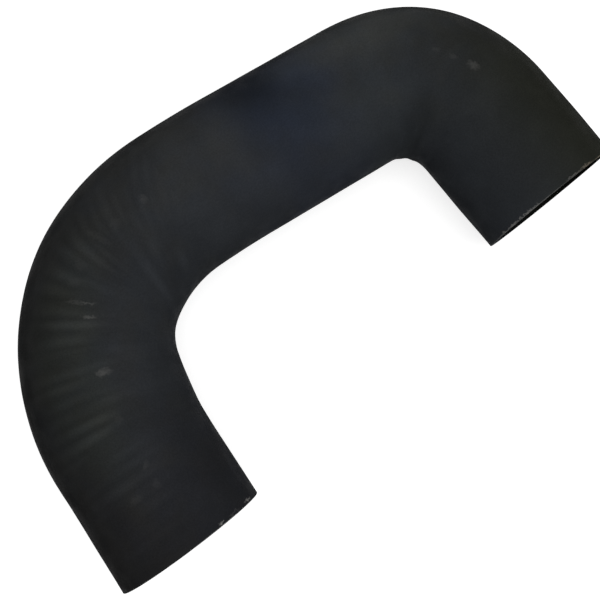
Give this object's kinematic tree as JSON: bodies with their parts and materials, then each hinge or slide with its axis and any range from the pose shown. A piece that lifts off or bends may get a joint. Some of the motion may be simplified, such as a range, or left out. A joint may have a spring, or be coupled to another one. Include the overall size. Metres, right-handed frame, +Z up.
{
  "type": "duct hose",
  "caption": "Black rubber duct hose of round section, bent into a flat C shape, with open square-cut ends that push over spigots to carry air.",
  "frame": {"origin": "centre of the underside of the hose's box, on the surface that the hose lies on", "axes": "+X along the middle of the hose from leg A towards leg B, -Y the way both legs point, +Z up"},
  "size_m": [0.2942, 0.1692, 0.07],
  "materials": {
    "rubber": "matt black, with shallow grooves left by the curing tape"
  },
  "bodies": {
    "root": {"duct_hose": "rubber"}
  },
  "joints": []
}
